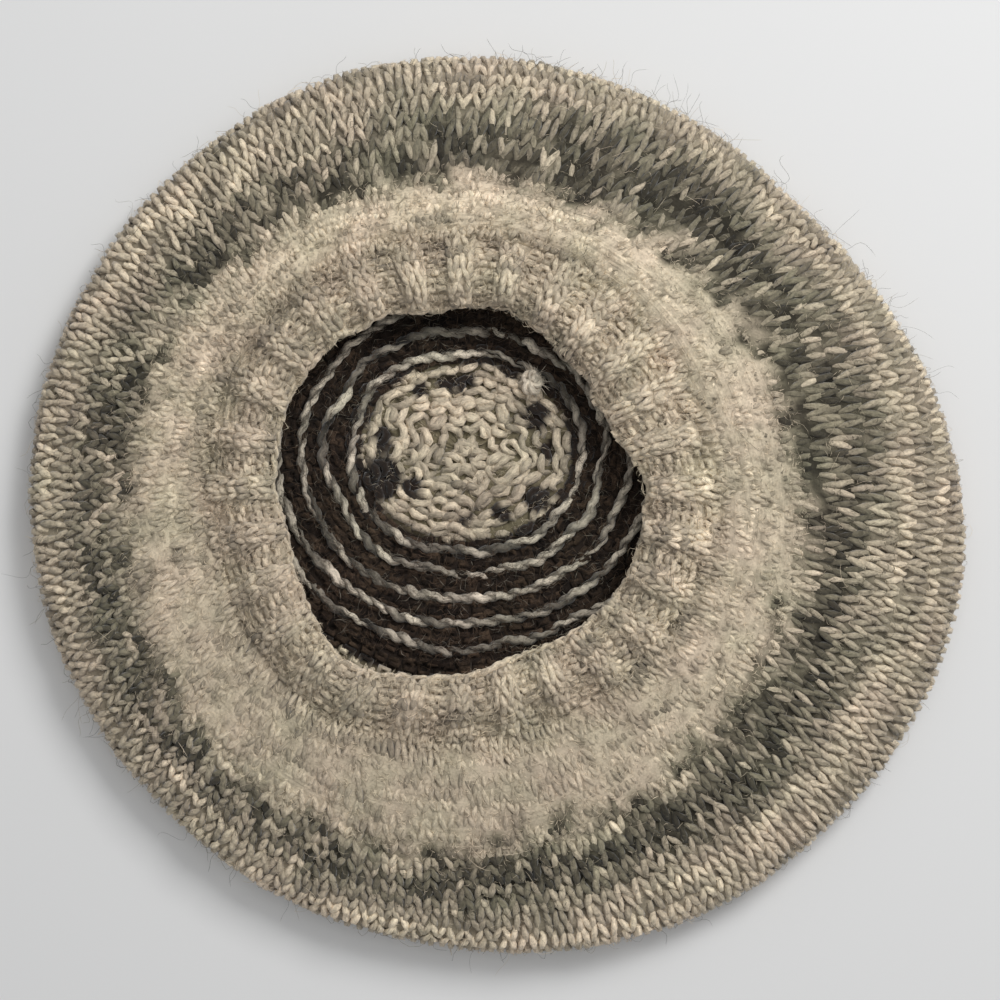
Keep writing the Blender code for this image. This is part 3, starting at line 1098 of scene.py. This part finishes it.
def felted_wool(sheet, felt, level, colours_of, rng):
    """The felted wool between the loops: a closed sheet that follows the cloth.

    Its seen face lies at a level in the yarn plus rough * noise, with a dimple where the noise
    is lowest, and its hidden face, in fewer lines, at the inner offset. Hollows get painted shade:
    low noise and the dimples darken the colours. It may run a little past the sheet's last row, to
    close a centre.
    """
    last = sheet.rows + felt.past
    lines = np.linspace(0, last, int(last * felt.lines_per_row) + 1)
    turns = even_turns(felt.turns)
    turn, line = np.meshgrid(turns, lines)
    noise = cloth_noise(rng, *turn.shape, 0.5, 0.8)
    dimples = np.clip(-noise - 1.2, 0, 1)
    height = level(turn, line) + felt.rough * noise - felt.dimple * dimples
    seen, _ = sheet.at(turn, line, felt.side * height)
    back_lines = np.linspace(last, 0, sheet.rows // 3 + 1)
    back_turn, back_line = np.meshgrid(turns, back_lines)
    hidden, _ = sheet.at(back_turn, back_line, felt.side * felt.inner + 0 * back_line)
    # Painted shade: darker where the felt lies lower, and darker still in the dimples
    tone = (1 + 0.14 * np.clip(noise, -2, 1.2)) * (1 - 0.5 * dimples)
    seen_colours = colours_of(turn, line) * tone[..., None]
    hidden_colours = colours_of(back_turn, back_line)
    rings = np.concatenate([seen, hidden])
    colours = np.concatenate([seen_colours, hidden_colours])
    if felt.side > 0:
        rings = rings[:, ::-1]
        colours = colours[:, ::-1]
    rings[..., 2] = np.maximum(rings[..., 2], FIBRE_CLEARANCE)
    parts = MeshParts()
    parts.add_tube(rings, np.clip(colours, 0, 1).reshape(-1, 3), np.arange(len(rings)) * 2.0)
    finish_piece(parts, felt.name, FELT_FINISH, felt.node)


def twisted_rope(sheet, line, stitches, rng, side, lift, spread, radius):
    """Two strands twisted into a rope that lies round a sheet at a line, on one of its sides.

    Strand k is the rope's middle plus spread * cos a along the cloth and 0.7 * spread * sin a
    out of it, with a = twists * turn + k * pi, and is thickest where sin a is 1. The middle
    swings in and out by a scallop a stitch. Each strand comes with its sin a.
    """
    steps = ROPE_STEPS * stitches
    turn = even_turns(steps)
    height = sheet.row_height(max(line, 0.0))
    middle = line + 0.07 * np.sin(stitches * turn) + 0.15 * smooth_noise(rng, steps, 7)
    middle = middle + drift(turn, line) * 0.5
    out = lift + 0.0004 * np.clip(smooth_noise(rng, steps, 11), -1.8, 0.5)
    twists = int(round(stitches * 0.28))
    wander = 1.2 * smooth_noise(rng, steps, 14)
    strands = []
    for strand in range(2):
        a = twists * turn + strand * np.pi + wander
        rise = np.sin(a)
        points, normals = sheet.at(
            turn, middle + spread * np.cos(a) / height, side * (out + 0.7 * spread * rise)
        )
        thick = 0.92 + 0.34 * rise + 0.24 * smooth_noise(rng, steps, 5)
        width = radius * np.clip(thick, 0.3, 1.7)
        points[:, 2] = np.maximum(points[:, 2], width * YARN_CLEARANCE)
        strands.append((Yarn(points, normals, width), rise))
    return strands


# Loose fibres


def lay_fibres(sheet, fuzz, rng):
    """Loose fibres lying on a sheet: a path for each, and the cloth's normal at its middle.

    With s going from -1 to 1, a fibre runs half its length times s in a random direction, bends
    aside by a share of 1 - s^2 and arches out of the yarn by the same. Fibres of the pale ropes
    lie near them and run along them.
    """
    count = fuzz.count
    lines = np.linspace(fuzz.first, fuzz.last, 30)
    rounds = np.array([sheet.round_length(line) for line in lines]).cumsum()
    row = np.interp(rng.random(count) * rounds[-1], rounds, lines)
    if fuzz.along:
        shares = np.array(PALE_ROPES)
        ropes = np.array([crown_line(share) for share in shares])
        row = rng.choice(ropes, count, p=shares / shares.sum()) + rng.normal(0, 0.16, count)
    turn = rng.uniform(0, 2 * np.pi, count)
    none = np.zeros(count)
    here, normals = sheet.at(turn, row, none)
    per_turn = np.linalg.norm(sheet.at(turn + 0.01, row, none)[0] - here, axis=1) / 0.01
    per_row = np.linalg.norm(sheet.at(turn, row + 0.1, none)[0] - here, axis=1) / 0.1
    s = np.linspace(-1, 1, fuzz.nodes)[None]
    arch = 1 - s**2
    half = fuzz.length / 2 * rng.uniform(0.4, 1.4, count)[:, None]
    heading = rng.uniform(0, 2 * np.pi, count)[:, None]
    if fuzz.along:
        heading = rng.normal(0, 0.4, count)[:, None]
    along = half * s
    aside = half * rng.normal(0, 0.4, count)[:, None] * arch
    x = along * np.cos(heading) - aside * np.sin(heading)
    y = along * np.sin(heading) + aside * np.cos(heading)
    low = fuzz.low * rng.uniform(0.5, 1.2, (count, 1))
    top = fuzz.top * rng.uniform(0.6, 1.2, (count, 1))
    offset = fuzz.side * (low + (top - low) * arch)
    paths, _ = sheet.at(
        turn[:, None] + x / per_turn[:, None], row[:, None] + y / per_row[:, None], offset
    )
    paths[..., 2] = np.maximum(paths[..., 2], FIBRE_CLEARANCE)
    return paths, normals


def fibre_colours(context, shades, count, rng):
    """A colour for each fibre, picked from shades by their shares and made lighter or darker."""
    colours = np.array([colour_of(context, shade.colour) * shade.tone for shade in shades])
    shares = np.array([shade.share for shade in shades])
    picked = colours[rng.choice(len(shades), count, p=shares / shares.sum())]
    return np.clip(picked * rng.uniform(0.75, 1.3, (count, 1)), 0, 1)


# Operators


class TAM_OT_band(bpy.types.Operator):
    """Knit the ribbed band"""

    bl_idname = "tam.band"
    bl_label = "Knit Ribbed Band"

    def execute(self, context):
        sizes = context.scene.tam_sizes
        sheet = band_sheet(Cloth(sizes))
        cream = colour_of(context, "cream")
        stitches = sizes.rib_count * RIB_STITCHES

        def loops_of(row):
            width = sheet.round_length(row + 0.5) / stitches
            lean = loop_lean(sheet.row_height(row), width)
            return Loops(
                stitches, LOOP_STEPS, lean, height=0.95, depth=sizes.loop_depth,
                radius=sizes.yarn_radius * 0.92, swell=0.38, wild=1.25, relief=0.00035,
                face=rib_face,
            )

        def colours_of(row, count, rng):
            turn = np.arange(count * 2) / count * np.pi
            # Painted shade on the band's left and painted light on its right, by a cosine of the
            # turn
            return cream * (0.935 - 0.095 * np.cos(turn - np.radians(190)))[:, None]

        knit = knit_rows(sheet, range(BAND_ROWS), loops_of, colours_of, YARN_SIDES, SEED)
        finish_piece(knit, "band_ribbing", YARN_FINISH, "ribbed_band")
        rng = np.random.default_rng(SEED + 1)
        parts = MeshParts()
        edge = twisted_rope(
            sheet, -0.35, stitches, rng, side=1, lift=-0.0001, spread=0.0006, radius=0.00075
        )
        for yarn, _ in edge:
            colours = plain_colours(rng, cream, len(yarn.points), ROPE_STEPS, 0.1)
            add_yarn(parts, yarn, colours)
        finish_piece(parts, "band_edge", YARN_FINISH, "ribbed_band")

        def level(turn, line):
            purl = (1 - rib_face(turn / (2 * np.pi) * stitches)) / 2
            return -0.0002 + (0.0008 - 0.0009 * purl) * np.clip(line, 0, 1)

        def felt_colours_with_painted_shade(turn, line):
            # Painted shade: the felt between the band's loops is darker than its yarn
            return np.broadcast_to(cream * 0.78, (*turn.shape, 3))

        felt = Felt(
            "band_felt", "ribbed_band", turns=336, lines_per_row=2, past=0, side=1,
            inner=-0.0014, rough=0.00022, dimple=0.0005,
        )
        felted_wool(sheet, felt, level, felt_colours_with_painted_shade, rng)
        return {"FINISHED"}


class TAM_OT_underside(bpy.types.Operator):
    """Knit the underside with its grey ring"""

    bl_idname = "tam.underside"
    bl_label = "Knit Underside"

    def execute(self, context):
        sizes = context.scene.tam_sizes
        sheet = underside_sheet(Cloth(sizes))
        stitches = sizes.body_stitches
        grey = grey_field(UNDERSIDE_ROWS, np.random.default_rng(SEED + 9))

        def loops_of(row):
            width = sheet.round_length(row + 0.5) / stitches
            lean = loop_lean(sheet.row_height(row), width)
            felted = np.clip(1 - row / 9, 0, 1)
            return Loops(
                stitches, LOOP_STEPS, lean, height=0.95,
                depth=sizes.loop_depth * (1 - 0.1 * felted),
                radius=sizes.yarn_radius * (0.92 - 0.16 * felted), swell=0.48,
                wild=1.0 + 0.6 * felted,
            )

        def plain_loops(row):
            return loops_of(row)._replace(steps=PLAIN_LOOP_STEPS)

        def colours_of(row, count, rng):
            legs = count * 2
            turn = (np.arange(legs) + 0.5) / legs * 2 * np.pi
            share = grey(turn, np.full(legs, row + 0.6))
            pick = rng.random(legs)
            share = share * np.where(pick < 0.16, 0.30, np.where(pick < 0.5, 0.68, 0.98))
            share = share + 0.07 * rng.standard_normal(legs) * (share > 0.05)
            # Painted light and shade on the legs, by turn and row, as on the felt
            tone = painted_light_and_shade(turn, row + 0.6) * (0.98 - 0.03 * np.clip((row - 7) / 6, 0, 1))
            return grey_colours(context, np.clip(share, 0, 1)) * tone[:, None]

        groups = (
            ("underside_inner", range(0, 7), loops_of, YARN_SIDES),
            ("underside_ring", range(7, 14), loops_of, YARN_SIDES),
            ("underside_rim", range(14, 21), loops_of, YARN_SIDES),
            ("underside_turn", range(21, UNDERSIDE_ROWS), plain_loops, PLAIN_SIDES),
        )
        for number, (name, rows, loops, sides) in enumerate(groups):
            knit = knit_rows(sheet, rows, loops, colours_of, sides, SEED + 10 + number)
            finish_piece(knit, name, YARN_FINISH, "underside")

        def level(turn, line):
            rise = 0.00124 + 0.00022 * np.cos(turn - np.radians(30))
            rise = rise * np.clip(line / 2, 0, 1)
            return -0.0001 + rise - 0.00090 * np.clip((line - 6.5) / 6, 0, 1)

        def felt_colours_with_painted_shade(turn, line):
            # Painted shade: the felt darkens from row 6 outwards, darkest in the rim's gaps, and
            # takes the body's painted light and shade
            tone = 0.97 - 0.50 * np.clip((line - 6) / 6, 0, 1)
            tone = tone * painted_light_and_shade(turn, line)
            return grey_colours(context, grey(turn, line)) * tone[..., None]

        felt = Felt(
            "underside_felt", "underside", turns=576, lines_per_row=2.5, past=0, side=1,
            inner=-0.0010, rough=0.00012, dimple=0.0005,
        )
        felted_wool(sheet, felt, level, felt_colours_with_painted_shade, np.random.default_rng(SEED + 8))
        return {"FINISHED"}


class TAM_OT_crown(bpy.types.Operator):
    """Knit the crown in its rounds"""

    bl_idname = "tam.crown"
    bl_label = "Knit Crown"

    def execute(self, context):
        sizes = context.scene.tam_sizes
        sheet = crown_sheet(Cloth(sizes))
        first_dark = crown_line(DARK_ROUNDS[1])
        last_dark = crown_line(DARK_ROUNDS[0])
        dark_start = int(round(first_dark + 0.3))
        dark_end = int(round(last_dark - 0.4))
        cream = colour_of(context, "cream")
        brown = colour_of(context, "brown")
        centre = np.array(sizes.crown_centre)

        def loops_of(row):
            hidden = row < dark_start
            central = row >= dark_end
            width = HIDDEN_STITCH if hidden else CENTRE_STITCH if central else DARK_STITCH
            whole = sheet.round_length(row + 0.5)
            count = max(3, int(round(whole / width)))
            lean = loop_lean(sheet.row_height(row), whole / count)
            if hidden:
                return Loops(
                    count, PLAIN_LOOP_STEPS, lean, height=0.92, depth=0.0007,
                    radius=CROWN_YARN_RADIUS, swell=0.2,
                )
            if not central:
                return Loops(
                    count, LOOP_STEPS - 2, lean, height=0.92, depth=0.00085,
                    radius=CROWN_YARN_RADIUS, swell=-0.15,
                )
            dense = np.clip((row - dark_end - 1) / 2, 0, 1)
            return Loops(
                count, LOOP_STEPS + 4, lean * 1.1,
                height=0.85 if row < CROWN_OUTER_ROUNDS + CROWN_ROUNDS else 0.3, depth=0.0010,
                radius=CROWN_YARN_RADIUS * (0.98 + 0.12 * dense), swell=-0.28 + 0.12 * dense,
                tilt=0.0003, wild=1.2,
            )

        def colours_of(row, count, rng):
            if not dark_start <= row < dark_end:
                return np.repeat(cream[None] * 0.94, count * 2, 0)
            warm = np.clip(rng.normal(0.35, 0.45, count * 2), 0, 1)
            return mixed(brown, colour_of(context, "warm_brown"), warm)

        def in_dark_rounds(away):
            reach = np.linalg.norm(away, axis=-1)
            stretch = sizes.round_stretch * (away[..., 0] / (reach + 1e-9)) ** 2
            share = (reach - stretch) / (sizes.hat_width / 2)
            return (share > DARK_ROUNDS[0]) & (share < DARK_ROUNDS[1])

        def spotted(points, colours):
            away = points[..., :2] - centre
            dark = in_dark_rounds(away)[..., None]
            pale = colours.mean(-1, keepdims=True) > 0.08
            colours = np.where(dark & pale, brown, colours)
            colours = np.where(~dark & ~pale, cream, colours)
            for spot in DARK_SPOTS:
                place = (away - [spot.x, spot.y]) / [spot.width / 2, spot.depth / 2]
                share = np.clip(8 * (1.12 - np.linalg.norm(place, axis=-1)), 0, 1)
                colours = mixed(colours, brown, share)
            return colours

        edge_start = CROWN_OUTER_ROUNDS - 1
        end = CROWN_OUTER_ROUNDS + CROWN_ROUNDS + 1
        groups = (
            ("crown_outer", 0, edge_start, PLAIN_SIDES, YARN_FINISH),
            ("crown_edge_rounds", edge_start, dark_start, PLAIN_SIDES, YARN_FINISH),
            ("crown_dark_rounds", dark_start, dark_end, YARN_SIDES, DARK_YARN_FINISH),
            ("crown_centre", dark_end, end, YARN_SIDES, YARN_FINISH),
        )
        for number, (name, first, last, sides, finish) in enumerate(groups):
            rows = range(first, last)
            knit = knit_rows(sheet, rows, loops_of, colours_of, sides, SEED + 30 + number, spotted)
            finish_piece(knit, name, finish, "crown")

        rng = np.random.default_rng(SEED + 40)
        parts = MeshParts()
        pale = colour_of(context, "pale")
        for share in PALE_ROPES:
            line = crown_line(share)
            stitches = int(round(sheet.round_length(line) / ROPE_STITCH))
            rope = twisted_rope(
                sheet, line, stitches, rng, side=-1, lift=0.0013, spread=0.0007, radius=0.00088
            )
            for yarn, rise in rope:
                colours = plain_colours(rng, pale, len(rise), ROPE_STEPS, 0.14)
                worn = 0.80 + 0.36 * smooth_noise(rng, len(rise), 12)
                # Painted shade where a strand dips under the other and painted light where it
                # rides on top, over a random tone along the rope
                tone = np.clip(worn * (0.72 + 0.50 * rise), 0.06, 1.25)
                add_yarn(parts, yarn, colours * tone[:, None])
        finish_piece(parts, "crown_pale_ropes", YARN_FINISH, "crown")
        self.knot(context, centre)

        def felt_colours_with_painted_shade(turn, line):
            dark = (line > first_dark) & (line < last_dark)
            points, _ = sheet.at(turn, line, 0 * line)
            # Painted shade: the cream felt between the crown's loops is darkened to a quarter; the
            # dark rounds keep their own brown
            return spotted(points, np.where(dark[..., None], brown, cream * [0.25, 0.25, 0.21]))

        def level(turn, line):
            return 0.0001 - 0.0001 * np.clip(line - last_dark, 0, 1)

        felt = Felt(
            "crown_felt", "crown", turns=252, lines_per_row=2, past=0.86, side=-1,
            inner=-0.0014, rough=0.00018, dimple=0.0,
        )
        felted_wool(sheet, felt, level, felt_colours_with_painted_shade, rng)
        return {"FINISHED"}

    def knot(self, context, centre):
        """A pale fluffy knot: yarn wound on a ball, with fibres standing out of it.

        The yarn's direction from the middle has the longitude 7t and the latitude
        1.4 sin(5t + 1), and its distance swings with 17t.
        """
        rng = np.random.default_rng(SEED + 50)
        t = even_turns(KNOT_STEPS)
        up = 1.4 * np.sin(5 * t + 1)
        out = np.stack([np.cos(up) * np.cos(7 * t), np.cos(up) * np.sin(7 * t), np.sin(up)], 1)
        middle = np.array([centre[0] + KNOT_PLACE[0], centre[1] + KNOT_PLACE[1], KNOT_HEIGHT])
        shape = KNOT_SIZE * np.array(KNOT_SHAPE)
        away = 0.72 + 0.16 * np.sin(17 * t)
        points = middle + out * shape * away[:, None]
        radius = np.clip(0.00085 + 0.00025 * smooth_noise(rng, KNOT_STEPS, 3), 0.0004, 0.0014)
        parts = MeshParts()
        colours = plain_colours(rng, colour_of(context, "pale") * 1.4, KNOT_STEPS, 4, 0.12)
        add_yarn(parts, Yarn(points, out, radius), colours)
        out = unit(rng.standard_normal((KNOT_FLUFF, 3)) * [1, 1, 0.5] + [0, 0, 0.4])
        s = np.linspace(0.6, 1.15, 4)[None, :, None]
        bend = rng.normal(0, 0.6, (KNOT_FLUFF, 1, 3)) * (s - 0.6)
        paths = middle + shape * (out[:, None] * s + bend)
        fluff = fibre_colours(context, (Shade("pale", 1.3, 1),), KNOT_FLUFF, rng)
        parts.add_fibres(paths, np.full(KNOT_FLUFF, 0.00008), fluff, np.roll(out, 1, 1))
        finish_piece(parts, "crown_knot", YARN_FINISH, "crown")


class TAM_OT_fuzz(bpy.types.Operator):
    """Lay loose wool fibres over the knitting"""

    bl_idname = "tam.fuzz"
    bl_label = "Lay Fuzz"

    def execute(self, context):
        cloth = Cloth(context.scene.tam_sizes)
        sheets = {
            "ribbed_band": band_sheet(cloth),
            "underside": underside_sheet(cloth),
            "crown": crown_sheet(cloth),
        }
        for number, fuzz in enumerate(FUZZ):
            rng = np.random.default_rng(SEED + 60 + number)
            sheet = sheets[fuzz.node]
            paths, normals = lay_fibres(sheet, fuzz, rng)
            radius = fuzz.radius * rng.uniform(0.7, 1.3, fuzz.count)
            colours = fibre_colours(context, fuzz.shades, fuzz.count, rng)
            parts = MeshParts()
            parts.add_fibres(paths, radius, colours, normals)
            finish_piece(parts, fuzz.name, FIBRE_FINISH, fuzz.node)
        return {"FINISHED"}


class TAM_OT_hairs(bpy.types.Operator):
    """Let long hairs stand out from the rim"""

    bl_idname = "tam.hairs"
    bl_label = "Add Rim Hairs"

    def execute(self, context):
        rng = np.random.default_rng(SEED + 90)
        sheet = underside_sheet(Cloth(context.scene.tam_sizes))
        degrees = np.concatenate(
            [rng.normal(tuft.degrees, tuft.degrees_wide, tuft.hairs) for tuft in HAIR_TUFTS]
        )
        longest = np.concatenate([np.full(tuft.hairs, tuft.longest) for tuft in HAIR_TUFTS])
        degrees = np.concatenate([degrees, rng.uniform(0, 360, STRAY_HAIRS)])
        longest = np.concatenate([longest, np.full(STRAY_HAIRS, STRAY_HAIR_LENGTH)])
        count = len(degrees)
        row = rng.uniform(*HAIR_ROWS, count)
        root, normal = sheet.at(np.radians(degrees), row, np.full(count, 0.0012))
        out = unit(normal * [1, 1, 0.25])
        side = np.stack([-out[:, 1], out[:, 0], 0 * out[:, 0]], 1)
        heading = rng.normal(0, 0.85, count)[:, None]
        ahead = out * np.cos(heading) + side * np.sin(heading)
        across = np.stack([-ahead[:, 1], ahead[:, 0], 0 * ahead[:, 0]], 1)
        s = np.linspace(0, 1, 10)[None, :, None]
        length = (longest * rng.uniform(0.35, 1.0, count))[:, None, None]
        bend = rng.normal(0, 0.45, count)[:, None, None]
        curl = rng.normal(0, 0.10, count)[:, None, None]
        phase = rng.uniform(0, 2 * np.pi, count)[:, None, None]
        sway = bend * s**2 + curl * (np.sin(7 * s + phase) - np.sin(phase))
        lift = rng.normal(0, 0.12, count)[:, None, None] * s
        paths = root[:, None] + length * (s * ahead[:, None] + sway * across[:, None])
        paths = paths + length * lift * np.array([0, 0, 1])
        paths[..., 2] = np.maximum(paths[..., 2], FIBRE_CLEARANCE)
        colours = fibre_colours(context, RIM_HAIR_SHADES, count, rng)
        parts = MeshParts()
        ups = np.tile([0.0, 0.0, 1.0], (count, 1))
        parts.add_fibres(paths, rng.uniform(0.00003, 0.00005, count), colours, ups)
        finish_piece(parts, "rim_hairs", FIBRE_FINISH, "underside")
        return {"FINISHED"}


class TAM_OT_stage(bpy.types.Operator):
    """Set the floor, the lights and the camera"""

    bl_idname = "tam.stage"
    bl_label = "Set Stage"

    def execute(self, context):
        scene = context.scene
        shader = Shader("pale_floor")
        surface = shader.node(
            "ShaderNodeBsdfPrincipled", None,
            {"Base Color": FLOOR_COLOUR, "Roughness": 0.85, "Specular IOR Level": 0.2},
        )
        mesh = bpy.data.meshes.new("floor")
        corners = FLOOR_REACH * np.array([(-1, -1, 0), (1, -1, 0), (1, 1, 0), (-1, 1, 0)])
        mesh.from_pydata(corners.tolist(), [], [(0, 1, 2, 3)])
        mesh.materials.append(shader.finish(surface))
        floor = add_object("floor", mesh)
        for light in LIGHTS:
            data = bpy.data.lights.new(light.name, "AREA")
            data.energy = light.power
            data.size = light.size
            lamp = add_object(light.name, data)
            lamp.location = light.place
            lamp.rotation_euler = (-Vector(light.place)).to_track_quat("-Z", "Y").to_euler()
        world = bpy.data.worlds.new("room")
        world.use_nodes = True
        background = world.node_tree.nodes["Background"]
        background.inputs["Color"].default_value = ROOM_COLOUR
        background.inputs["Strength"].default_value = ROOM_STRENGTH
        scene.world = world
        scene.view_settings.view_transform = "Standard"
        data = bpy.data.cameras.new("camera")
        data.sensor_width = SENSOR_WIDTH
        data.lens = SENSOR_WIDTH * (CAMERA_HEIGHT - RIM_HEIGHT) / PHOTO_WIDTH
        data.clip_start = 0.01
        camera = add_object("camera", data)
        camera.location = (*CAMERA_PLACE, CAMERA_HEIGHT)
        scene.camera = camera
        return {"FINISHED"}


class TAM_PT_panel(bpy.types.Panel):
    """The tam's tools in the 3D view's sidebar"""

    bl_label = "Knitted Tam"
    bl_idname = "TAM_PT_panel"
    bl_space_type = "VIEW_3D"
    bl_region_type = "UI"
    bl_category = "Tam"

    def draw(self, context):
        layout = self.layout
        for group in (context.scene.tam_sizes, context.scene.tam_colours):
            box = layout.box()
            for name in group.__annotations__:
                box.prop(group, name)
        for operator in OPERATORS:
            layout.operator(operator.bl_idname)


OPERATORS = (
    TAM_OT_band, TAM_OT_underside, TAM_OT_crown, TAM_OT_fuzz, TAM_OT_hairs, TAM_OT_stage,
)
CLASSES = (TamSizes, TamColours, *OPERATORS, TAM_PT_panel)


def register():
    """Registers the classes and puts the sizes and colours on the scene."""
    for cls in CLASSES:
        bpy.utils.register_class(cls)
    bpy.types.Scene.tam_sizes = PointerProperty(type=TamSizes)
    bpy.types.Scene.tam_colours = PointerProperty(type=TamColours)


def unregister():
    """Takes them off again."""
    del bpy.types.Scene.tam_colours
    del bpy.types.Scene.tam_sizes
    for cls in reversed(CLASSES):
        bpy.utils.unregister_class(cls)


def main():
    """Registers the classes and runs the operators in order."""
    register()
    bpy.ops.tam.band()
    bpy.ops.tam.underside()
    bpy.ops.tam.crown()
    bpy.ops.tam.fuzz()
    bpy.ops.tam.hairs()
    bpy.ops.tam.stage()


if __name__ == "__main__":
    main()
